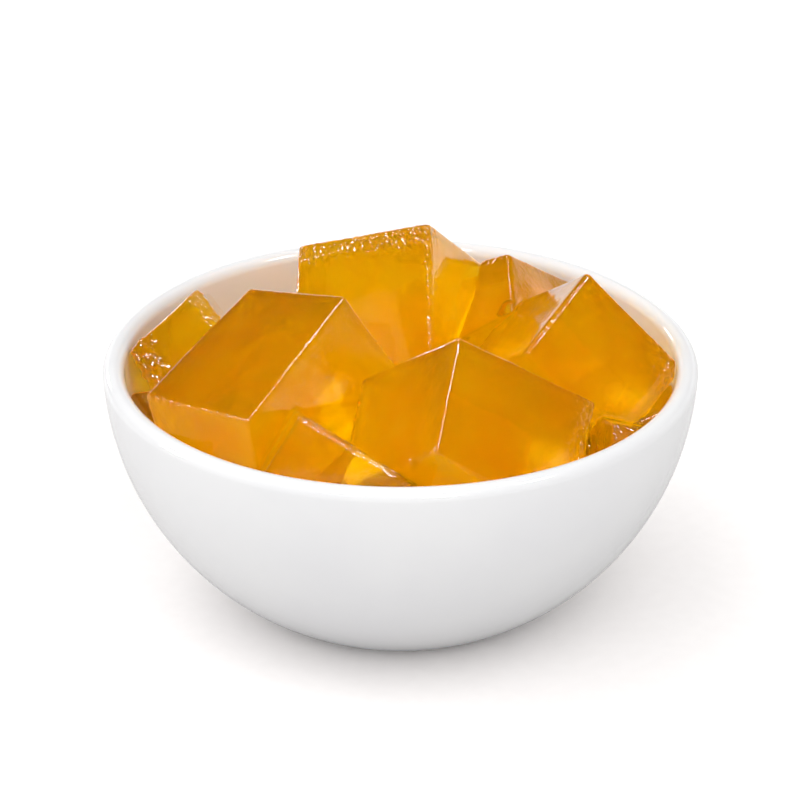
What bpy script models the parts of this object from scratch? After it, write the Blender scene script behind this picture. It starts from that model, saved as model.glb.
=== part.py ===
"""A round white bowl heaped with cubes of amber jelly.

Jelly of this kind is poured into a shallow tray, left to set and cut into
cubes with a knife, so its pieces have flat sides, slightly rounded edges
and corners that are a little out of square. They are tumbled into the bowl
and lie at all angles, pressed a little flat where they touch each other
and the wall.
"""
import itertools
import math

import bmesh
import bpy
from mathutils import Euler, Vector
from mathutils.bvhtree import BVHTree

MM = 0.001

# Bowl: outside a ball cut flat for the foot, inside a slightly shallower bowl.
BALL_RADIUS = 60.0 * MM
BALL_CENTRE_HEIGHT = 52.0 * MM
FOOT_ROUNDING = 0.8 * MM
LIP_RADIUS = 2.2 * MM
LIP_CENTRE_HEIGHT = 49.6 * MM
FLOOR_HEIGHT = 4.8 * MM
BOWL_SEGMENTS = 64
OUTER_STEPS = 10
LIP_STEPS = 6
INNER_STEPS = 9

# Jelly: a fine gap to all it touches, and edges softened by the knife.
GAP = 0.35 * MM
EDGE_ROUNDING = 1.1 * MM
HEADROOM = 100.0 * MM
BLOCK_MARGIN = 30.0 * MM
MERGE_DISTANCE = 0.02 * MM

# Each cube: name, three edge lengths, centre, turn about x, y and z in degrees,
# and how far the knife left some corners out of square, in millimetres.
# A corner is named by its side along each edge, as in "+-+".
CUBES = (
    ("jelly_front_centre", (25.5, 31.5, 35), (13, -25.5, 43), (45, 36, -103),
     {"++-": (1.5, -0.5, -0.5), "-+-": (-1, 0.5, 0.5)}),
    ("jelly_front_wedge", (28.5, 29.5, 18), (-14.5, -39.5, 36.5), (53, -50, 36), {}),
    ("jelly_left_front", (37.5, 28.5, 25.5), (-26.5, -9.5, 47), (9, 20, -128),
     {"--+": (1, 0, -1), "-+-": (-3, 2, 0.5), "-++": (0.5, -1, 1), "+--": (1.5, -1, 0.5),
      "+-+": (-1, 1, -0.5), "++-": (2, -2, 0.5), "+++": (-1, 1, -1)}),
    ("jelly_right_front", (25, 25, 25), (48.5, -20.5, 31), (73, -21, -80), {}),
    ("jelly_right_back", (23, 34, 28), (33.5, 3, 45.5), (38, 27, -130), {}),
    ("jelly_back_centre", (29.5, 27, 30), (-3.5, 23.5, 50.5), (59, -6, -17),
     {"-++": (0, -2, -0.5), "+--": (-3.5, 1, 1), "+-+": (1, 0, -2), "++-": (3, -1.5, -1),
      "+++": (-0.5, 2.5, 2)}),
    ("jelly_left_back", (28.5, 20, 24.5), (-40, 12, 41), (53, 47, -30),
     {"--+": (1, 1, 0), "-++": (-1, 0, 0), "+-+": (0, -1, 0)}),
    ("jelly_back_right", (20, 29, 29), (21.5, 34.5, 41.5), (41, 35, -91),
     {"-++": (2.5, -1.5, -1), "+++": (-1.5, 1, 0.5)}),
    ("jelly_right_edge", (25, 26, 24), (46, -4, 31), (-8, -14, 24), {}),
    ("jelly_left_edge", (26, 25, 26), (-41, -7, 28), (14, 10, 31), {}),
    ("jelly_rear_edge", (27, 28, 26), (-17, 37, 29), (-16, 10, 23), {}),
    ("jelly_bottom_left", (28, 27, 26), (-16, 4, 19), (8, -6, 24), {}),
    ("jelly_bottom_right", (27, 28, 27), (14, 9, 18), (-7, 9, -37), {}),
)


def clear_scene():
    """Remove what the empty file starts with."""
    for old in list(bpy.data.objects):
        bpy.data.objects.remove(old, do_unlink=True)


def make_material(name, colour, roughness, transmission):
    """A plain surface with a base colour."""
    material = bpy.data.materials.new(name)
    material.use_nodes = True
    shader = material.node_tree.nodes["Principled BSDF"]
    shader.inputs["Base Color"].default_value = (*colour, 1.0)
    shader.inputs["Roughness"].default_value = roughness
    shader.inputs["Transmission Weight"].default_value = transmission
    return material


def add_object(name, mesh, material):
    """Put a mesh in the scene under its own name."""
    mesh.materials.clear()
    mesh.materials.append(material)
    made = bpy.data.objects.new(name, mesh)
    bpy.context.scene.collection.objects.link(made)
    return made


def turned_mesh(name, profile, segments):
    """Turn a profile of (radius, height) points about the upright axis.

    The first and the last point lie on the axis.
    """
    shape = bmesh.new()
    first = shape.verts.new((0, 0, profile[0][1]))
    last = shape.verts.new((0, 0, profile[-1][1]))
    rings = []
    for radius, height in profile[1:-1]:
        ring = []
        for step in range(segments):
            angle = math.tau * step / segments
            ring.append(shape.verts.new((radius * math.cos(angle), radius * math.sin(angle), height)))
        rings.append(ring)
    for step in range(segments):
        after = (step + 1) % segments
        shape.faces.new((first, rings[0][after], rings[0][step]))
        shape.faces.new((last, rings[-1][step], rings[-1][after]))
        for lower, upper in zip(rings, rings[1:]):
            shape.faces.new((lower[step], lower[after], upper[after], upper[step]))
    bmesh.ops.recalc_face_normals(shape, faces=shape.faces)
    mesh = bpy.data.meshes.new(name)
    shape.to_mesh(mesh)
    shape.free()
    return mesh


def inner_wall(inset):
    """The inside of the bowl from the lip down to the floor, moved in by an inset."""
    width = BALL_RADIUS - 2 * LIP_RADIUS - inset
    depth = LIP_CENTRE_HEIGHT - FLOOR_HEIGHT - inset
    points = []
    for step in range(INNER_STEPS + 1):
        angle = math.pi / 2 * step / INNER_STEPS
        points.append((width * math.cos(angle), LIP_CENTRE_HEIGHT - depth * math.sin(angle)))
    points[-1] = (0.0, points[-1][1])
    return points


def bowl_profile():
    """Foot, ball-shaped outside, round lip, then the inside down to the floor."""
    foot_angle = math.asin(BALL_CENTRE_HEIGHT / BALL_RADIUS)
    foot_radius = BALL_RADIUS * math.cos(foot_angle)
    lip_angle = math.asin((BALL_CENTRE_HEIGHT - LIP_CENTRE_HEIGHT) / BALL_RADIUS)
    points = [(0.0, 0.0), (foot_radius - FOOT_ROUNDING, 0.0)]
    rise = math.asin((BALL_CENTRE_HEIGHT - FOOT_ROUNDING) / BALL_RADIUS)
    for step in range(OUTER_STEPS + 1):
        angle = rise + (lip_angle - rise) * step / OUTER_STEPS
        points.append((BALL_RADIUS * math.cos(angle), BALL_CENTRE_HEIGHT - BALL_RADIUS * math.sin(angle)))
    for step in range(1, LIP_STEPS):
        angle = math.pi * step / LIP_STEPS
        across = BALL_RADIUS - LIP_RADIUS + LIP_RADIUS * math.cos(angle)
        points.append((across, LIP_CENTRE_HEIGHT + LIP_RADIUS * math.sin(angle)))
    return points + inner_wall(0.0)


def surround_profile():
    """A block round the room that the jelly may fill: the hollow less a gap, open upward."""
    wall = inner_wall(GAP)
    outline = [(0.0, -BLOCK_MARGIN), (BALL_RADIUS + BLOCK_MARGIN, -BLOCK_MARGIN),
               (BALL_RADIUS + BLOCK_MARGIN, HEADROOM), (wall[0][0], HEADROOM)]
    return outline + wall


def corner_points(side, inset, rounding):
    """Points of a round corner of a cube: towards its faces, its edges and its tip."""
    points = []
    for flags in range(1, 8):
        toward = Vector([value if flags >> axis & 1 else 0.0 for axis, value in enumerate(side)])
        points.append(inset + toward.normalized() * rounding)
    return points


def cube_mesh(name, size, centre, turn, slips, grown):
    """A cut cube with softened edges, or a slightly larger copy of it as a cutter.

    It is the tight skin round eight small round corners.
    """
    shape = bmesh.new()
    turning = Euler([math.radians(angle) for angle in turn]).to_matrix()
    for side in itertools.product((-1, 1), repeat=3):
        label = "".join("+" if value > 0 else "-" for value in side)
        slip = Vector(slips.get(label, (0, 0, 0))) * MM
        inset = Vector([(length * MM / 2 - EDGE_ROUNDING) * value for length, value in zip(size, side)])
        for point in corner_points(side, inset + slip, EDGE_ROUNDING + grown):
            shape.verts.new(turning @ point + Vector(centre) * MM)
    hull = bmesh.ops.convex_hull(shape, input=shape.verts[:])
    spare = {part for key in ("geom_interior", "geom_unused") for part in hull[key]}
    bmesh.ops.delete(shape, geom=[part for part in spare if isinstance(part, bmesh.types.BMVert)],
                     context="VERTS")
    bmesh.ops.recalc_face_normals(shape, faces=shape.faces)
    mesh = bpy.data.meshes.new(name)
    shape.to_mesh(mesh)
    shape.free()
    return mesh


def trim(target, cutter):
    """Cut one object with another and keep what is left."""
    step = target.modifiers.new("Trim", "BOOLEAN")
    step.operation = "DIFFERENCE"
    step.solver = "EXACT"
    step.object = cutter
    graph = bpy.context.evaluated_depsgraph_get()
    cut = bpy.data.meshes.new_from_object(target.evaluated_get(graph))
    target.modifiers.clear()
    before = target.data
    target.data = cut
    bpy.data.meshes.remove(before)


def skin(thing):
    """The surface of an object in a form that can be searched for crossings."""
    places = [corner.co for corner in thing.data.vertices]
    return BVHTree.FromPolygons(places, [tuple(face.vertices) for face in thing.data.polygons])


def cross(first, second):
    """Whether the surfaces of two objects run through each other."""
    return bool(skin(first).overlap(skin(second)))


def islands(shape):
    """The separate pieces of a mesh, each as a list of its corners."""
    left = set(shape.verts)
    found = []
    while left:
        reached = [left.pop()]
        for corner in reached:
            for edge in corner.link_edges:
                other = edge.other_vert(corner)
                if other in left:
                    left.remove(other)
                    reached.append(other)
        found.append(reached)
    return found


def tidy_piece(target):
    """Merge hair-thin leftovers of the cuts and keep the largest piece."""
    shape = bmesh.new()
    shape.from_mesh(target.data)
    bmesh.ops.remove_doubles(shape, verts=shape.verts, dist=MERGE_DISTANCE)
    pieces = sorted(islands(shape), key=len)
    for piece in pieces[:-1]:
        bmesh.ops.delete(shape, geom=piece, context="VERTS")
    bmesh.ops.triangulate(shape, faces=shape.faces)
    shape.to_mesh(target.data)
    shape.free()


def soften_shading(target, angle):
    """Round faces shade smoothly, cut edges stay crisp."""
    for face in target.data.polygons:
        face.use_smooth = True
    target.data.set_sharp_from_angle(angle=math.radians(angle))


def build():
    """The bowl, then the cubes from the front of the heap to its back and bottom."""
    clear_scene()
    ceramic = make_material("white_ceramic", (0.86, 0.86, 0.85), 0.3, 0.0)
    bowl = add_object("bowl", turned_mesh("bowl", bowl_profile(), BOWL_SEGMENTS), ceramic)
    soften_shading(bowl, 40)
    spare = make_material("cutter", (0.5, 0.5, 0.5), 0.5, 0.0)
    surround = add_object("surround", turned_mesh("surround", surround_profile(), BOWL_SEGMENTS), spare)
    cutters = []
    for name, size, centre, turn, slips in CUBES:
        jelly = make_material(name + "_amber", (0.62, 0.25, 0.01), 0.12, 0.4)
        cube = add_object(name, cube_mesh(name, size, centre, turn, slips, 0.0), jelly)
        for cutter in cutters + [surround]:
            if cross(cube, cutter):
                trim(cube, cutter)
        tidy_piece(cube)
        soften_shading(cube, 30)
        print(name, len(cube.data.polygons), "triangles")
        grown = cube_mesh(name + "_cutter", size, centre, turn, slips, GAP)
        cutters.append(add_object(name + "_cutter", grown, spare))
    for helper in cutters + [surround]:
        bpy.data.objects.remove(helper, do_unlink=True)


build()
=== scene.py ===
# %% [markdown]
# # A bowl of jelly cubes
#
# The object is a plain round white bowl heaped with amber jelly. The jelly
# was poured into a tray, left to set and cut with a knife, so every piece
# has flat, wet sides and edges that are only just rounded. The pieces lie
# at all angles, press lightly on each other, and let light through.
#
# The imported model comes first. It fixes the size and the place of every
# piece, and everything made below stands exactly where the frame has it.

# %% The frame
import itertools
import math

import bmesh
import bpy
from mathutils import Euler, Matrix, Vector, noise
from mathutils.bvhtree import BVHTree


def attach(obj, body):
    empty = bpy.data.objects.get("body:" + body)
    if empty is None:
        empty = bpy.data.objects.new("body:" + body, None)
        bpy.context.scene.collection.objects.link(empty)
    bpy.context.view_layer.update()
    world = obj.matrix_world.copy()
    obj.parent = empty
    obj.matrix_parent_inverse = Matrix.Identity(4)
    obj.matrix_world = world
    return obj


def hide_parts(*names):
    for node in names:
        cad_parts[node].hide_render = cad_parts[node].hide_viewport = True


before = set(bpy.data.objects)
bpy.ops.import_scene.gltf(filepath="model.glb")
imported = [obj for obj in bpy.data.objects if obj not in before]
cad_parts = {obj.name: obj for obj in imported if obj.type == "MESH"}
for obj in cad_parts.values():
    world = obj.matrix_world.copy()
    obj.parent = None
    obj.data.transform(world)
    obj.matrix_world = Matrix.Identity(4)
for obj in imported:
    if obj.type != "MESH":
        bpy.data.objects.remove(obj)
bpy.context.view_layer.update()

MM = 0.001

# %% [markdown]
# ## The camera
#
# The photo looks slightly down into the bowl, from a little over half a
# metre away and with a long lens, which keeps the far rim nearly as wide as
# the near one. The camera is placed by the point that it looks at, its
# distance and its height above the horizon. Those are easier to judge than
# a raw position.

# %% Camera
VIEW_HEIGHT = math.radians(26.3)
VIEW_DISTANCE = 620 * MM
VIEW_TARGET = Vector((-0.1, 0.0, 41.4)) * MM
LENS = 137.25
SENSOR_WIDTH = 36.0
NEAREST_SEEN = 50 * MM

lens_data = bpy.data.cameras.new("photo_camera")
lens_data.lens = LENS
lens_data.sensor_width = SENSOR_WIDTH
lens_data.clip_start = NEAREST_SEEN
camera = bpy.data.objects.new("photo_camera", lens_data)
bpy.context.scene.collection.objects.link(camera)
toward = Vector((0.0, math.cos(VIEW_HEIGHT), -math.sin(VIEW_HEIGHT)))
camera.location = VIEW_TARGET - toward * VIEW_DISTANCE
camera.rotation_euler = Euler((math.pi / 2 - VIEW_HEIGHT, 0.0, 0.0))
bpy.context.scene.camera = camera
print("camera at", [round(v, 3) for v in camera.location])

# %% [markdown]
# ## Helpers for finished pieces
#
# Every piece ends the same way: its mesh goes into an object at the origin,
# gets its material, rides on the one body of this model, and stands for its
# node in the frame. One helper does all of that, so no step is forgotten.
# Where an angle is given, edges that bend more than that are kept sharp.

# %% Finishing a piece
def finish_piece(name, mesh, material, node, sharp_angle):
    """Makes an object of a mesh and ties it to the frame."""
    mesh.materials.clear()
    mesh.materials.append(material)
    mesh.shade_smooth()
    if sharp_angle is not None:
        mesh.set_sharp_from_angle(angle=math.radians(sharp_angle))
    piece = bpy.data.objects.new(name, mesh)
    bpy.context.scene.collection.objects.link(piece)
    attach(piece, "root")
    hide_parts(node)
    print(name, len(mesh.polygons), "faces")
    return piece


def mesh_of(shape, name):
    """Turns a bmesh into a mesh and lets the bmesh go."""
    mesh = bpy.data.meshes.new(name)
    shape.to_mesh(mesh)
    shape.free()
    return mesh

# %% [markdown]
# ## The bowl
#
# Outside, the bowl is part of a ball that the table cuts flat. Inside it is
# a little shallower, so that the floor is as thick as the wall, and the lip
# is a half round. A potter would turn this shape on a wheel, and a spin
# about the upright axis does the same: one half outline, swept all round.

# %% Bowl outline
BALL_RADIUS = 60.0 * MM
BALL_CENTRE = 52.0 * MM
FOOT_ROUNDING = 0.8 * MM
LIP_RADIUS = 2.2 * MM
LIP_CENTRE = 49.6 * MM
FLOOR_HEIGHT = 4.8 * MM
FOOT_BEND = math.radians(60)
FOOT_STEPS, WALL_STEPS, LIP_STEPS, INSIDE_STEPS = 3, 40, 14, 36


def arc(count, first, last):
    """Evenly spaced angles from the first to the last, both included."""
    return [first + (last - first) * step / count for step in range(count + 1)]


def inside_line(inset, count):
    """The inside from the lip down to its middle, moved in by an inset."""
    width = BALL_RADIUS - 2 * LIP_RADIUS - inset
    depth = LIP_CENTRE - FLOOR_HEIGHT - inset
    return [(width * math.cos(a), LIP_CENTRE - depth * math.sin(a))
            for a in arc(count, 0, math.pi / 2)]


def outside_line(count):
    """The outside from the foot up to the start of the lip."""
    low = math.asin((BALL_CENTRE - FOOT_ROUNDING) / BALL_RADIUS)
    high = math.asin((BALL_CENTRE - LIP_CENTRE) / BALL_RADIUS)
    foot = BALL_RADIUS * math.cos(math.asin(BALL_CENTRE / BALL_RADIUS)) - FOOT_ROUNDING
    bend = [(foot + FOOT_ROUNDING * math.sin(a), FOOT_ROUNDING * (1 - math.cos(a)))
            for a in arc(FOOT_STEPS, 0, FOOT_BEND)]
    wall = [(BALL_RADIUS * math.cos(a), BALL_CENTRE - BALL_RADIUS * math.sin(a))
            for a in arc(count, low, high)]
    return [(0.0, 0.0), (foot * 0.5, 0.0)] + bend + wall


def lip_line(count):
    """The half round of the lip, from outside to inside."""
    middle = BALL_RADIUS - LIP_RADIUS
    return [(middle + LIP_RADIUS * math.cos(a), LIP_CENTRE + LIP_RADIUS * math.sin(a))
            for a in arc(count, 0, math.pi)[1:-1]]


bowl_line = outside_line(WALL_STEPS) + lip_line(LIP_STEPS) + inside_line(0.0, INSIDE_STEPS)
print("bowl outline has", len(bowl_line), "points")

# %% Spinning the outline
SAME_POINT = 0.01 * MM
TURN_STEPS = 160


def spun(name, outline, steps):
    """Spins a half outline round the upright axis into a closed shape."""
    shape = bmesh.new()
    corners = [shape.verts.new((radius, 0.0, height)) for radius, height in outline]
    edges = [shape.edges.new(pair) for pair in zip(corners, corners[1:])]
    bmesh.ops.spin(shape, geom=corners + edges, cent=(0, 0, 0), axis=(0, 0, 1),
                   dvec=(0, 0, 0), angle=math.tau, steps=steps, use_merge=True,
                   use_duplicate=False)
    bmesh.ops.remove_doubles(shape, verts=shape.verts, dist=SAME_POINT)
    bmesh.ops.recalc_face_normals(shape, faces=shape.faces)
    return mesh_of(shape, name)


bowl_mesh = spun("bowl_mesh", bowl_line, TURN_STEPS)
print("bowl:", len(bowl_mesh.polygons), "faces")

# %% [markdown]
# ## The jelly cubes
#
# A cut cube has flat sides, but no edge is perfectly sharp. A simple way to
# make one is to put a small ball at each of its eight corners and stretch a
# tight skin round them: a convex hull. Corners can then be moved a little,
# as a hand-held knife does, and the sides stay clean.
#
# Sizes, places and turns are those of the solids. A corner's name gives the
# sign of its x, y and z before the cube is turned. A larger copy of each
# cube, grown by a fine gap, is the cutter for the cubes after it.

# %% Cube sizes and places
GAP = 0.35 * MM
EDGE_ROUNDING = 0.9 * MM

# name, size and centre in mm, turn in degrees, corners moved in mm
CUBES = (
    ("jelly_front_centre", (25.5, 31.5, 35), (13, -25.5, 43), (45, 36, -103),
     {"++-": (1.5, -0.5, -0.5), "-+-": (-1, 0.5, 0.5)}),
    ("jelly_front_wedge", (28.5, 29.5, 18), (-14.5, -39.5, 36.5), (53, -50, 36), {}),
    ("jelly_left_front", (37.5, 28.5, 25.5), (-26.5, -9.5, 47), (9, 20, -128),
     {"--+": (1, 0, -1), "-+-": (-3, 2, 0.5), "-++": (0.5, -1, 1), "+--": (1.5, -1, 0.5),
      "+-+": (-1, 1, -0.5), "++-": (2, -2, 0.5), "+++": (-1, 1, -1)}),
    ("jelly_right_front", (25, 25, 25), (48.5, -20.5, 31), (73, -21, -80), {}),
    ("jelly_right_back", (23, 34, 28), (33.5, 3, 45.5), (38, 27, -130), {}),
    ("jelly_back_centre", (29.5, 27, 30), (-3.5, 23.5, 50.5), (59, -6, -17),
     {"-++": (0, -2, -0.5), "+--": (-3.5, 1, 1), "+-+": (1, 0, -2), "++-": (3, -1.5, -1),
      "+++": (-0.5, 2.5, 2)}),
    ("jelly_left_back", (28.5, 20, 24.5), (-40, 12, 41), (53, 47, -30),
     {"--+": (1, 1, 0), "-++": (-1, 0, 0), "+-+": (0, -1, 0)}),
    ("jelly_back_right", (20, 29, 29), (21.5, 34.5, 41.5), (41, 35, -91),
     {"-++": (2.5, -1.5, -1), "+++": (-1.5, 1, 0.5)}),
    ("jelly_right_edge", (25, 26, 24), (46, -4, 31), (-8, -14, 24), {}),
    ("jelly_left_edge", (26, 25, 26), (-41, -7, 28), (14, 10, 31), {}),
    ("jelly_rear_edge", (27, 28, 26), (-17, 37, 29), (-16, 10, 23), {}),
    ("jelly_bottom_left", (28, 27, 26), (-16, 4, 19), (8, -6, 24), {}),
    ("jelly_bottom_right", (27, 28, 27), (14, 9, 18), (-7, 9, -37), {}),
)
print(len(CUBES), "cubes")

# %% A skin round eight balls
BLOCK_RADIUS, BLOCK_BOTTOM, BLOCK_TOP = 90 * MM, -30 * MM, 100 * MM
BLOCK_INSIDE_STEPS, BLOCK_TURN_STEPS = 24, 96


def turning_of(turn):
    """The rotation for a cube's turn in degrees."""
    return Euler([math.radians(angle) for angle in turn]).to_matrix()


def cube_skin(name, size, centre, turn, slips, grown):
    """A cube with round edges and corners, as the hull of eight balls."""
    shape = bmesh.new()
    turning = turning_of(turn)
    for side in itertools.product((-1, 1), repeat=3):
        label = "".join("+" if value > 0 else "-" for value in side)
        corner = Vector([(length * MM / 2 - EDGE_ROUNDING) * value
                         for length, value in zip(size, side)])
        corner += Vector(slips.get(label, (0, 0, 0))) * MM
        ball = bmesh.ops.create_icosphere(shape, subdivisions=2, radius=EDGE_ROUNDING + grown)
        place = turning @ corner + Vector(centre) * MM
        bmesh.ops.translate(shape, vec=place, verts=ball["verts"])
    bmesh.ops.delete(shape, geom=shape.edges[:], context="EDGES_FACES")
    hull = bmesh.ops.convex_hull(shape, input=shape.verts[:])
    inside = {part for part in hull["geom_interior"] + hull["geom_unused"]
              if isinstance(part, bmesh.types.BMVert)}
    bmesh.ops.delete(shape, geom=list(inside), context="VERTS")
    bmesh.ops.recalc_face_normals(shape, faces=shape.faces)
    return mesh_of(shape, name)


def wall_block():
    """Everything outside the bowl's inner wall, as a thick ring with a floor."""
    inner = inside_line(GAP, BLOCK_INSIDE_STEPS)
    outline = [(0.0, BLOCK_BOTTOM), (BLOCK_RADIUS, BLOCK_BOTTOM), (BLOCK_RADIUS, BLOCK_TOP),
               (inner[0][0], BLOCK_TOP)] + inner
    return spun("wall_block", outline, BLOCK_TURN_STEPS)


block = wall_block()
print("wall block:", len(block.polygons), "faces")

# %% [markdown]
# ## Letting the cubes touch without running into each other
#
# Real cubes lie against each other, and wherever two meet, the softer one
# gives way. Here the order of the list decides: a cube keeps its shape
# against all that come after it, and is cut back by all that come before.
# A boolean does the cutting, a voxel remesh gives even faces all over, and
# a short smoothing rounds every edge, the cut ones too. The cubes that lie
# out of sight get coarser faces.

# %% Cutting and remeshing
VOXEL = 0.42 * MM
HIDDEN_VOXEL = 0.8 * MM
SMOOTHING_ROUNDS = 2
SMOOTHING_SHARE = 0.5
HIDDEN = ("jelly_bottom", "jelly_rear")


def tree_of(mesh):
    """A search tree over a mesh, to find where two skins cross."""
    return BVHTree.FromPolygons([vertex.co for vertex in mesh.vertices],
                                [face.vertices for face in mesh.polygons])


def carved(mesh, cutters, voxel):
    """Cuts a skin by the cutters and turns it into even, softly rounded faces."""
    work = bpy.data.objects.new("work", mesh)
    bpy.context.scene.collection.objects.link(work)
    helpers = []
    for cutter in cutters:
        helper = bpy.data.objects.new("cutter", cutter)
        bpy.context.scene.collection.objects.link(helper)
        helpers.append(helper)
        cut = work.modifiers.new("cut", "BOOLEAN")
        cut.operation = "DIFFERENCE"
        cut.solver = "EXACT"
        cut.object = helper
    even = work.modifiers.new("even", "REMESH")
    even.mode = "VOXEL"
    even.voxel_size = voxel
    soft = work.modifiers.new("soft", "SMOOTH")
    soft.factor = SMOOTHING_SHARE
    soft.iterations = SMOOTHING_ROUNDS
    bpy.context.view_layer.update()
    finished = work.evaluated_get(bpy.context.evaluated_depsgraph_get())
    result = bpy.data.meshes.new_from_object(finished)
    for helper in helpers:
        bpy.data.objects.remove(helper)
    bpy.data.objects.remove(work)
    return result


jelly_meshes = {}
earlier = [(block, tree_of(block))]
for name, *shape_facts in CUBES:
    skin = cube_skin(name, *shape_facts, 0.0)
    skin_tree = tree_of(skin)
    cutters = [mesh for mesh, tree in earlier if tree.overlap(skin_tree)]
    voxel = HIDDEN_VOXEL if name.startswith(HIDDEN) else VOXEL
    jelly_meshes[name] = carved(skin, cutters, voxel)
    grown = cube_skin(name + "_cutter", *shape_facts, GAP)
    earlier.append((grown, tree_of(grown)))
    print(name, "cut by", len(cutters), "->", len(jelly_meshes[name].polygons), "faces")

# %% [markdown]
# ## Hand-cut and wet
#
# A knife leaves the sides of a jelly cube slightly bowed and wavy and nicks
# its edges, and where the jelly set against the air or the tray it has
# small blisters and puckers. All of these are moved into the mesh itself,
# point by point, with a smooth noise. Blisters sit only along the edges
# named in the list.
#
# Two attributes on each mesh remember where its edges are and where it is
# blistered. The material reads them later for the finest unevenness.

# %% Bowing, waves and blisters
# breadth and height of each kind of unevenness
BOW = (22 * MM, 0.30 * MM)
WAVE = (6 * MM, 0.07 * MM)
NICK = (1.5 * MM, 0.05 * MM)
DRIFT = (3.1, -7.7, 5.3)
CELL_DRAW, EMPTY_BELOW = 3.7, -0.2
DOME_REACH = 0.5
EDGE_CONTRAST = 4.0
BLISTER_FADE, FINE_BLISTER_FADE = 2.0, 1.6

# start corner, end corner, reach, blister size and height in mm
BLISTERS = {
    "jelly_back_centre": (("-++", "+++", 6.0, 1.5, 0.17), ("+++", "+-+", 1.2, 1.2, 0.08)),
    "jelly_left_back": (("--+", "+-+", 7.5, 2.2, 0.45), ("-++", "+++", 3.5, 1.6, 0.25)),
    "jelly_right_back": (("-+-", "-+-", 11.0, 1.7, 0.16),),
    "jelly_front_centre": (("-+-", "++-", 6.0, 1.8, 0.15), ("+-+", "--+", 2.4, 1.6, 0.28),
                           ("+++", "+-+", 1.4, 1.4, 0.14)),
    "jelly_front_wedge": (("+++", "+-+", 1.1, 1.5, 0.07),),
    "jelly_right_front": (("--+", "+++", 3.5, 1.9, 0.20),),
    "jelly_back_right": (("--+", "-++", 2.0, 1.8, 0.12),),
    "jelly_left_front": (("+-+", "+++", 1.4, 1.5, 0.10),),
}


def corner_place(size, centre, turn, slips, label):
    """Where a named corner of a cube lies."""
    corner = Vector([length / 2 * (1 if sign == "+" else -1)
                     for length, sign in zip(size, label)])
    corner += Vector(slips.get(label, (0, 0, 0)))
    return (turning_of(turn) @ corner + Vector(centre)) * MM


def nearness(point, start, end, reach):
    """One on the line from start to end, falling to nothing at the reach."""
    line = end - start
    share = 0.0
    if line.length > 0:
        share = (point - start).dot(line) / line.length_squared
    away = (point - start - line * min(1.0, max(0.0, share))).length
    return max(0.0, 1.0 - away / reach)


def blister(point, size, height):
    """The height of a field of small round blisters, some of the places empty."""
    distances, centres = noise.voronoi(point / size)
    if noise.noise(centres[0] * CELL_DRAW) < EMPTY_BELOW:
        return 0.0
    return height * max(0.0, 1.0 - (distances[0] / DOME_REACH) ** 2)


def edge_share(normal, turning):
    """Nothing on a flat side, and one in the middle of a rounded edge."""
    own = turning.transposed() @ normal
    return min(1.0, EDGE_CONTRAST * (1.0 - max(abs(own.x), abs(own.y), abs(own.z))))


def make_hand_cut(mesh, seed, turning, patches):
    """Moves every point by the bow, the waves, the nicks and the blisters."""
    rough_edge = mesh.attributes.new("rough_edge", "FLOAT", "POINT")
    blistered = mesh.attributes.new("blistered", "FLOAT", "POINT")
    drift = Vector([seed * step for step in DRIFT])
    moves = [normal.vector.copy() for normal in mesh.vertex_normals]
    for vertex, normal in zip(mesh.vertices, moves):
        place = vertex.co
        height = BOW[1] * noise.noise(place / BOW[0] + drift)
        height += WAVE[1] * noise.noise(place / WAVE[0] - drift)
        share = edge_share(normal, turning)
        rough_edge.data[vertex.index].value = share
        height += NICK[1] * noise.noise(place / NICK[0] + drift) * share
        for start, end, reach, size, top in patches:
            near = nearness(place, start, end, reach)
            if near > 0.0:
                height += blister(place, size, top) * min(1.0, BLISTER_FADE * near)
                known = blistered.data[vertex.index]
                known.value = max(known.value, min(1.0, FINE_BLISTER_FADE * near))
        vertex.co = place + normal * height
    mesh.update()


for number, (name, *shape_facts) in enumerate(CUBES):
    patches = [(corner_place(*shape_facts, start), corner_place(*shape_facts, end),
                reach * MM, size * MM, top * MM)
               for start, end, reach, size, top in BLISTERS.get(name, ())]
    make_hand_cut(jelly_meshes[name], number + 1, turning_of(shape_facts[2]), patches)
print("cut surfaces finished, the heaviest piece has",
      max(len(mesh.polygons) for mesh in jelly_meshes.values()), "faces")

# %% [markdown]
# ## Helpers for the finishes
#
# No surface on a real thing is the same everywhere. One soft noise, kept as
# a shared group of nodes, supplies most of the small unevenness here: its
# value is read as a colour mask, as a roughness or as the height for a bump.
# Object coordinates are in metres, so a scale of 250 gives patches of about 4 mm.

# %% Soft unevenness
def new_material(name):
    """An empty node material with its output node."""
    material = bpy.data.materials.new(name)
    material.use_nodes = True
    nodes = material.node_tree.nodes
    nodes.clear()
    return material, nodes, material.node_tree.links, nodes.new("ShaderNodeOutputMaterial")


def make_unevenness():
    """The shared group: a soft noise at a chosen scale and detail."""
    group = bpy.data.node_groups.new("soft_unevenness", "ShaderNodeTree")
    sockets = (("Vector", "INPUT", "NodeSocketVector"), ("Scale", "INPUT", "NodeSocketFloat"),
               ("Detail", "INPUT", "NodeSocketFloat"), ("Value", "OUTPUT", "NodeSocketFloat"))
    for title, way, kind in sockets:
        group.interface.new_socket(title, in_out=way, socket_type=kind)
    given = group.nodes.new("NodeGroupInput")
    result = group.nodes.new("NodeGroupOutput")
    field = group.nodes.new("ShaderNodeTexNoise")
    for title in ("Vector", "Scale", "Detail"):
        group.links.new(given.outputs[title], field.inputs[title])
    group.links.new(field.outputs[0], result.inputs["Value"])
    return group


UNEVENNESS = make_unevenness()


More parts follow.
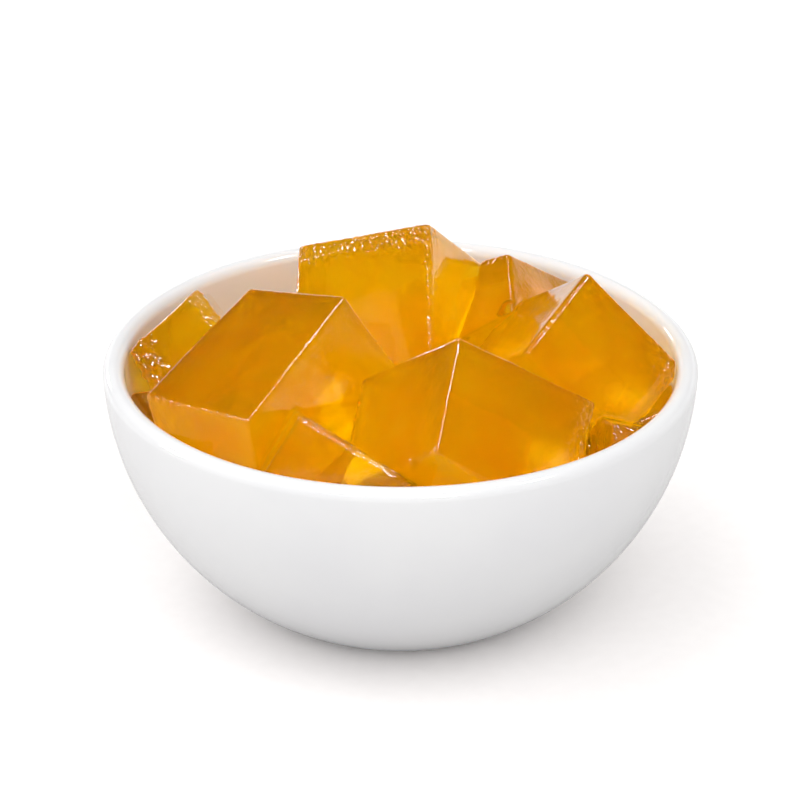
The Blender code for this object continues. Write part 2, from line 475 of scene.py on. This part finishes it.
def uneven(nodes, links, place, scale, detail):
    """The shared noise at one scale."""
    node = nodes.new("ShaderNodeGroup")
    node.node_tree = UNEVENNESS
    node.inputs["Scale"].default_value = scale
    node.inputs["Detail"].default_value = detail
    links.new(place, node.inputs["Vector"])
    return node.outputs["Value"]


def surface_shader(nodes, links, output):
    """A Principled shader on the output, and the piece's own coordinates."""
    surface = nodes.new("ShaderNodeBsdfPrincipled")
    links.new(surface.outputs["BSDF"], output.inputs["Surface"])
    return surface, nodes.new("ShaderNodeTexCoord").outputs["Object"]


print("shared group:", UNEVENNESS.name)

# %% [markdown]
# A colour ramp turns the noise into two close tones, a map range turns it
# into a roughness, and a bump turns it into a slope that catches the light.

# %% From noise to colour, roughness and slope
# the share of the noise in which nearly all of its values lie
NOISE_MIDDLE = (0.35, 0.65)


def two_tones(nodes, links, mask, first, second, low=0.4, high=0.6):
    """Blends between two close colours."""
    ramp = nodes.new("ShaderNodeValToRGB")
    for element, position, colour in zip(ramp.color_ramp.elements, (low, high), (first, second)):
        element.position = position
        element.color = (*colour, 1)
    links.new(mask, ramp.inputs["Fac"])
    return ramp.outputs["Color"]


def spread_value(nodes, links, mask, low, high):
    """Spreads the middle of the noise over a range of values."""
    node = nodes.new("ShaderNodeMapRange")
    titles = ("From Min", "From Max", "To Min", "To Max")
    for title, value in zip(titles, (*NOISE_MIDDLE, low, high)):
        node.inputs[title].default_value = value
    links.new(mask, node.inputs["Value"])
    return node.outputs[0]


def bump(nodes, links, height, distance, strength, before=None):
    """A slope made from a height, on top of the slope that comes before it."""
    node = nodes.new("ShaderNodeBump")
    node.inputs["Strength"].default_value = strength
    node.inputs["Distance"].default_value = distance
    links.new(height, node.inputs["Height"])
    if before is not None:
        links.new(before, node.inputs["Normal"])
    return node.outputs["Normal"]


def masked(nodes, links, height, attribute):
    """A height that counts only where the piece's own attribute says so."""
    mask = nodes.new("ShaderNodeAttribute")
    mask.attribute_name = attribute
    product = nodes.new("ShaderNodeMath")
    product.operation = "MULTIPLY"
    links.new(height, product.inputs[0])
    links.new(mask.outputs["Fac"], product.inputs[1])
    return product.outputs[0]


print("three ways to use one noise are ready")

# %% [markdown]
# ## The jelly's look
#
# Set jelly is a weak gel, nearly all water. Light is bent at its wet
# surface and loses its blue and then some of its green on the way through,
# so thin places look yellow and deep ones amber. A little cloudiness
# spreads the light, which is why nothing behind a cube shows sharply.
#
# It could be made with subsurface scattering alone, but that looks like
# cheese, because nothing shows through. Here the surface is a clear one
# that lets light in, and the inside is a volume that takes up colour and
# scatters faintly. A thin clear coat stands for the film of water on it.

# %% Inside the jelly
# what the water leaves of each colour, and how much per metre it acts
COLOUR_LEFT = (1.0, 0.955, 0.0, 1)
DYE_DENSITY = 300
COLOUR_SCATTERED = (1.0, 0.95, 0.1, 1)
CLOUD_DENSITY = 60
CLOUD_FORWARD = 0.7


def jelly_inside(nodes, links, output):
    """The volume: absorption for the colour, faint scattering for the cloudiness."""
    absorbing = nodes.new("ShaderNodeVolumeAbsorption")
    absorbing.inputs["Color"].default_value = COLOUR_LEFT
    absorbing.inputs["Density"].default_value = DYE_DENSITY
    scattering = nodes.new("ShaderNodeVolumeScatter")
    scattering.inputs["Color"].default_value = COLOUR_SCATTERED
    scattering.inputs["Density"].default_value = CLOUD_DENSITY
    scattering.inputs["Anisotropy"].default_value = CLOUD_FORWARD
    both = nodes.new("ShaderNodeAddShader")
    links.new(absorbing.outputs[0], both.inputs[0])
    links.new(scattering.outputs[0], both.inputs[1])
    links.new(both.outputs[0], output.inputs["Volume"])


print("colour left by the dye:", COLOUR_LEFT[:3])

# %% [markdown]
# The surface carries the finest unevenness as slopes. Broad and fine waves
# lie everywhere, nicks only on the edges and small domes only where the
# mesh is blistered.

# %% Slopes of the jelly
# scale and detail of the noise, depth and strength of the bump
FINE_WAVES = (700, 2, 0.10 * MM, 0.6)
BROAD_WAVES = (220, 2, 0.15 * MM, 0.5)
EDGE_NICKS = (900, 1, 0.14 * MM, 0.6)
DOME_SCALE, DOME_DEPTH, DOME_STRENGTH = 750, -0.6 * MM, 0.7


def waves(nodes, links, place, scale, detail):
    """A noise of its own, because the film of water shares the jelly's slopes."""
    field = nodes.new("ShaderNodeTexNoise")
    field.inputs["Scale"].default_value = scale
    field.inputs["Detail"].default_value = detail
    links.new(place, field.inputs["Vector"])
    return field.outputs[0]


def jelly_slopes(nodes, links, place):
    """Fine and broad waves, nicks and blisters, one on top of the other."""
    slope = None
    for scale, detail, depth, strength in (FINE_WAVES, BROAD_WAVES):
        height = waves(nodes, links, place, scale, detail)
        slope = bump(nodes, links, height, depth, strength, slope)
    scale, detail, depth, strength = EDGE_NICKS
    nicks = masked(nodes, links, waves(nodes, links, place, scale, detail), "rough_edge")
    slope = bump(nodes, links, nicks, depth, strength, slope)
    cells = nodes.new("ShaderNodeTexVoronoi")
    cells.inputs["Scale"].default_value = DOME_SCALE
    links.new(place, cells.inputs["Vector"])
    squared = nodes.new("ShaderNodeMath")
    squared.operation = "MULTIPLY"
    links.new(cells.outputs["Distance"], squared.inputs[0])
    links.new(cells.outputs["Distance"], squared.inputs[1])
    domes = masked(nodes, links, squared.outputs[0], "blistered")
    return bump(nodes, links, domes, DOME_DEPTH, DOME_STRENGTH, slope)


print("bumps on the jelly: waves, nicks and domes")

# %% Jelly finish
DEEP_AMBER = (1.0, 0.74, 0.24)
PALE_AMBER = (1.0, 0.86, 0.34)
CLOUD_NOISE = (90, 2)
WETNESS_NOISE = (260, 3)
JELLY_ROUGHNESS = (0.08, 0.18)
JELLY_SURFACE = {
    "IOR": 1.36,
    "Transmission Weight": 1.0,
    "Coat Weight": 1.0,
    "Coat Roughness": 0.03,
    "Coat IOR": 1.3,
}


def make_jelly():
    """Clear wet jelly: amber tones, uneven wetness, slopes and a dyed inside."""
    material, nodes, links, output = new_material("amber_jelly")
    surface, place = surface_shader(nodes, links, output)
    cloud = uneven(nodes, links, place, *CLOUD_NOISE)
    amber = two_tones(nodes, links, cloud, DEEP_AMBER, PALE_AMBER, *NOISE_MIDDLE)
    links.new(amber, surface.inputs["Base Color"])
    wetness = uneven(nodes, links, place, *WETNESS_NOISE)
    links.new(spread_value(nodes, links, wetness, *JELLY_ROUGHNESS), surface.inputs["Roughness"])
    slope = jelly_slopes(nodes, links, place)
    links.new(slope, surface.inputs["Normal"])
    links.new(slope, surface.inputs["Coat Normal"])
    for title, value in JELLY_SURFACE.items():
        surface.inputs[title].default_value = value
    jelly_inside(nodes, links, output)
    return material


jelly = make_jelly()
print("jelly finish has", len(jelly.node_tree.nodes), "nodes")

# %% [markdown]
# ## The bowl's look
#
# The bowl is fired white ceramic under a clear glaze. The glaze is smooth
# but never quite flat, and its tone drifts a little from place to place,
# which keeps the white from looking like paper. White is the hardest tone
# to light: it is kept well below full white here, so that the side of the
# bowl still has somewhere to go when the light falls on it.

# %% Glaze finish
GLAZE_COOL = (0.695, 0.695, 0.705)
GLAZE_WARM = (0.715, 0.715, 0.720)
GLAZE_TONE_NOISE, GLAZE_GLOSS_NOISE, GLAZE_RIPPLE_NOISE = (35, 3), (120, 3), (60, 2)
GLAZE_ROUGHNESS = (0.05, 0.09)
RIPPLE_DEPTH, RIPPLE_STRENGTH = 0.2 * MM, 0.3


def make_glaze():
    """Smooth white glaze with a slow drift in tone and gloss."""
    material, nodes, links, output = new_material("white_glaze")
    surface, place = surface_shader(nodes, links, output)
    tone = uneven(nodes, links, place, *GLAZE_TONE_NOISE)
    links.new(two_tones(nodes, links, tone, GLAZE_COOL, GLAZE_WARM), surface.inputs["Base Color"])
    gloss = uneven(nodes, links, place, *GLAZE_GLOSS_NOISE)
    links.new(spread_value(nodes, links, gloss, *GLAZE_ROUGHNESS), surface.inputs["Roughness"])
    ripple = uneven(nodes, links, place, *GLAZE_RIPPLE_NOISE)
    links.new(bump(nodes, links, ripple, RIPPLE_DEPTH, RIPPLE_STRENGTH), surface.inputs["Normal"])
    return material


ceramic = make_glaze()
print("glaze finish has", len(ceramic.node_tree.nodes), "nodes")

# %% [markdown]
# ## Dressing the pieces
#
# Each mesh now becomes an object, gets its finish, and stands for the solid
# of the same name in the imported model.

# %% Dressing
BOWL_SHARP_ANGLE = 60

finish_piece("bowl_finished", bowl_mesh, ceramic, "bowl", BOWL_SHARP_ANGLE)
for name, mesh in jelly_meshes.items():
    finish_piece(name + "_finished", mesh, jelly, name, None)
print("pieces dressed:", 1 + len(jelly_meshes))

# %% [markdown]
# ## The ground
#
# The photo was taken on white paper, lit until the paper is almost pure
# white. Paper as bright as that would also throw a lot of light up at the
# bowl. A photographer stops this with black cards just out of view. Here
# the paper shows white to the camera and gives back less light than it
# shows, which does the same with one mix node.

# %% Paper
PAPER_TONES = (0.895, 0.870, 0.860), (0.905, 0.880, 0.870)
PAPER_GIVES_BACK = (0.62, 0.611, 0.608, 1)
PAPER_GRAIN = (300, 3)
PAPER_ROUGHNESS = 0.9
PAPER_HALF_WIDTH = 3.0
# a Mix node for colours has its two colours on these sockets, and its result here
MIX_FACTOR, MIX_FIRST, MIX_SECOND, MIX_RESULT = 0, 6, 7, 2


def make_paper():
    """Matt white paper that shows more light than it gives back."""
    material, nodes, links, output = new_material("studio_paper")
    surface, place = surface_shader(nodes, links, output)
    grain = two_tones(nodes, links, uneven(nodes, links, place, *PAPER_GRAIN), *PAPER_TONES)
    choice = nodes.new("ShaderNodeMix")
    choice.data_type = "RGBA"
    seen_directly = nodes.new("ShaderNodeLightPath").outputs["Is Camera Ray"]
    links.new(seen_directly, choice.inputs[MIX_FACTOR])
    choice.inputs[MIX_FIRST].default_value = PAPER_GIVES_BACK
    links.new(grain, choice.inputs[MIX_SECOND])
    links.new(choice.outputs[MIX_RESULT], surface.inputs["Base Color"])
    surface.inputs["Roughness"].default_value = PAPER_ROUGHNESS
    surface.inputs["Specular IOR Level"].default_value = 0.0
    return material


shape = bmesh.new()
bmesh.ops.create_grid(shape, x_segments=4, y_segments=4, size=PAPER_HALF_WIDTH)
floor_mesh = mesh_of(shape, "floor")
floor_mesh.materials.append(make_paper())
floor = bpy.data.objects.new("floor", floor_mesh)
bpy.context.scene.collection.objects.link(floor)
print("paper is", round(floor.dimensions.x, 1), "m wide")

# %% [markdown]
# ## Glints
#
# Wet jelly shows its lamps as thin bright lines along the rounded edges and
# as dots on the blisters. Each lamp below is a small disc that shows only
# in reflections, so the glints can be placed one by one, by the direction
# that they come from, without changing the soft light on the bowl.

# %% Lamps for the glints
LAMP_DISTANCE = 1.2
BOWL_MIDDLE = Vector((0.0, 0.0, 0.045))
SHARP_GLINTS_ONLY = ("visible_transmission", "visible_diffuse", "visible_volume_scatter")


def direction(azimuth, elevation):
    """A direction, with 0 degrees behind the bowl and 90 at its right."""
    turn, rise = math.radians(azimuth), math.radians(elevation)
    flat = math.cos(rise)
    return Vector((math.sin(turn) * flat, math.cos(turn) * flat, math.sin(rise)))


def stand_lamp(name, lamp, place, blind_to):
    """Stands a lamp at its place and hides it from some kinds of ray."""
    light = bpy.data.objects.new(name, lamp)
    bpy.context.scene.collection.objects.link(light)
    light.location = place
    for kind in blind_to:
        setattr(light, kind, False)
    return light


def glint(name, azimuth, elevation, half_angle, radiance):
    """A disc lamp that shows only as a reflection."""
    radius = LAMP_DISTANCE * math.tan(math.radians(half_angle))
    lamp = bpy.data.lights.new(name, "AREA")
    lamp.shape = "DISK"
    lamp.size = 2 * radius
    lamp.energy = radiance * (math.pi * radius) ** 2
    away = direction(azimuth, elevation)
    light = stand_lamp(name, lamp, BOWL_MIDDLE + away * LAMP_DISTANCE, SHARP_GLINTS_ONLY)
    light.rotation_euler = away.to_track_quat("Z", "Y").to_euler()


# azimuth, elevation and half angle in degrees, radiance
GLINTS = {
    "glint_overhead": (40, 78, 9, 20),
    "glint_left": (-90, 16, 5, 50),
    "glint_back_left": (-37, 12, 4, 14),
    "glint_right": (110, 54, 4, 45),
    "glint_front": (165, 40, 6, 55),
    "glint_high_front": (-150, 58, 6, 60),
}
for name, facts in GLINTS.items():
    glint(name, *facts)
print("glints:", ", ".join(GLINTS))

# %% [markdown]
# ## Light gathered inside
#
# A clear cube bends the light that falls on it towards the corner away from
# the lamp, where it comes out as a soft yellow glow. Following every such
# ray takes a renderer very long. Two weak lamps inside the cube, hidden from
# the eye and from reflections, light the cloudiness around them, and give
# the front cube and the right cube the same soft glow.

# %% Lamps inside two cubes
SCATTERED_LIGHT_ONLY = ("visible_camera", "visible_transmission", "visible_glossy")

# place in mm, radius in mm, power in watts
INNER_GLOWS = {
    "glow_front_cube_1": ((24.8, -28.0, 42.4), 3.2, 0.00036),
    "glow_front_cube_2": ((28.8, -26.0, 40.2), 3.2, 0.00044),
    "glow_right_cube_1": ((42.5, -4.9, 44.1), 3.2, 0.00030),
    "glow_right_cube_2": ((46.1, -3.5, 43.1), 3.2, 0.00036),
}
for name, (place, radius, power) in INNER_GLOWS.items():
    lamp = bpy.data.lights.new(name, "POINT")
    lamp.shadow_soft_size = radius * MM
    lamp.energy = power
    stand_lamp(name, lamp, Vector(place) * MM, SCATTERED_LIGHT_ONLY)
print("lamps inside:", ", ".join(INNER_GLOWS))

# %% [markdown]
# ## Soft light
#
# A photographer would stand soft boxes round the table and one above it.
# Here each box is a soft round patch on the world's dome, so there is
# nothing to get in the camera's way. The two strengths of a box say how
# much it gives to the bowl and the paper, and how much to the light that
# goes through the jelly. The bowl is lit mostly from the left and the
# right front, and the jelly from above, the left and the front.
#
# Clear jelly also mirrors the dome on every side, which would lay a grey
# veil over its colour. Real soft boxes have dark gaps between them, so
# reflections see a dark dome here, with one pale band low at the back.
# The dome is not sampled as a lamp, so it is only met by a ray whose kind
# is known.

# %% Soft boxes
# azimuth and elevation in degrees, strength on the bowl, strength through the jelly
SOFT_BOXES = (
    (0, 88, 0.50, 1.75),
    (0, 45, 0.50, 0.0),
    (120, 45, 2.20, 0.25),
    (180, 45, 0.35, 4.40),
    (-120, 45, 1.55, 4.70),
    (-60, 45, 1.20, 2.40),
    (0, 12, 1.10, 0.0),
    (60, 12, 0.45, 0.0),
    (180, 12, 1.55, 0.60),
    (-120, 12, 0.85, 1.65),
    (-60, 12, 0.60, 1.50),
)
BOX_MIDDLE, BOX_EDGE = math.cos(math.radians(12)), math.cos(math.radians(42))
MIRRORED = 0.010
MIRRORED_BAND = 1.0
BAND_AZIMUTH = 20
# sines of the heights, and cosines of the widths, between which the band fades
BAND_TOP, BAND_SIDES = (0.18, 0.34), (0.50, 0.72)

world = bpy.data.worlds.new("studio")
bpy.context.scene.world = world
world.use_nodes = True
world.cycles.sampling_method = "NONE"
sky_nodes, sky_links = world.node_tree.nodes, world.node_tree.links
sky_nodes.clear()
sky_output = sky_nodes.new("ShaderNodeOutputWorld")
dome = sky_nodes.new("ShaderNodeBackground")
dome.inputs["Color"].default_value = (1, 1, 1, 1)
sky_links.new(dome.outputs[0], sky_output.inputs["Surface"])
ray = sky_nodes.new("ShaderNodeLightPath")
looking = sky_nodes.new("ShaderNodeTexCoord").outputs["Generated"]


def sky_math(operation, *values):
    """One sum on numbers or sockets."""
    node = sky_nodes.new("ShaderNodeMath")
    node.operation = operation
    for slot, value in zip(node.inputs, values):
        if isinstance(value, bpy.types.NodeSocket):
            sky_links.new(value, slot)
        else:
            slot.default_value = value
    return node.outputs[0]


def along(axis):
    """How far a direction leans towards an axis, from -1 to 1."""
    node = sky_nodes.new("ShaderNodeVectorMath")
    node.operation = "DOT_PRODUCT"
    sky_links.new(looking, node.inputs[0])
    node.inputs[1].default_value = axis
    return node.outputs["Value"]


def smooth_step(value, start, end, bottom, top):
    """A soft rise from bottom to top while the value goes from start to end."""
    node = sky_nodes.new("ShaderNodeMapRange")
    node.interpolation_type = "SMOOTHSTEP"
    sky_links.new(value, node.inputs["Value"])
    for slot, number in zip(node.inputs[1:5], (start, end, bottom, top)):
        slot.default_value = number
    return node.outputs[0]


print("soft boxes:", len(SOFT_BOXES))

# %% [markdown]
# The light path node tells what kind of ray asks for the dome. A ray that
# has been bent into the jelly counts as mirrored and as passed through at
# once, so the passed-through ones are taken out of the mirrored ones first.

# %% What each ray sees
on_bowl = on_jelly = 0.0
for azimuth, elevation, bowl_strength, jelly_strength in SOFT_BOXES:
    patch = smooth_step(along(direction(azimuth, elevation)), BOX_EDGE, BOX_MIDDLE, 0.0, 1.0)
    on_bowl = sky_math("MULTIPLY_ADD", patch, bowl_strength, on_bowl)
    on_jelly = sky_math("MULTIPLY_ADD", patch, jelly_strength, on_jelly)

low_down = smooth_step(along(Vector((0, 0, 1))), *BAND_TOP, MIRRORED_BAND, 0.0)
at_back = smooth_step(along(direction(BAND_AZIMUTH, 0)), *BAND_SIDES, 0.0, 1.0)
band = sky_math("MULTIPLY", low_down, at_back)
through = ray.outputs["Is Transmission Ray"]
mirrored = sky_math("MULTIPLY", ray.outputs["Is Glossy Ray"], sky_math("SUBTRACT", 1.0, through))
straight = sky_math("SUBTRACT", 1.0, sky_math("MAXIMUM", mirrored, through))
strength = sky_math("MULTIPLY", mirrored, sky_math("ADD", band, MIRRORED))
strength = sky_math("MULTIPLY_ADD", straight, on_bowl, strength)
strength = sky_math("MULTIPLY_ADD", through, on_jelly, strength)
sky_links.new(strength, dome.inputs["Strength"])
print("dome has", len(sky_nodes), "nodes")

# %% [markdown]
# ## Letting the light through
#
# A ray crosses many wet surfaces before it is out of the heap again. Only
# with enough bounces does the jelly glow instead of going black inside. The
# colours are shown as they are, with no film curve laid over them.

# %% Render depth and colours
SURFACE_BOUNCES, VOLUME_BOUNCES, MATT_BOUNCES = 32, 24, 8
BRIGHTEST_STRAY = 4

scene = bpy.context.scene
scene.view_settings.view_transform = "Standard"
depth = scene.cycles
depth.use_denoising = True
depth.max_bounces = depth.transmission_bounces = depth.glossy_bounces = SURFACE_BOUNCES
depth.volume_bounces = VOLUME_BOUNCES
depth.diffuse_bounces = MATT_BOUNCES
depth.sample_clamp_indirect = BRIGHTEST_STRAY
print("bounces:", depth.max_bounces)
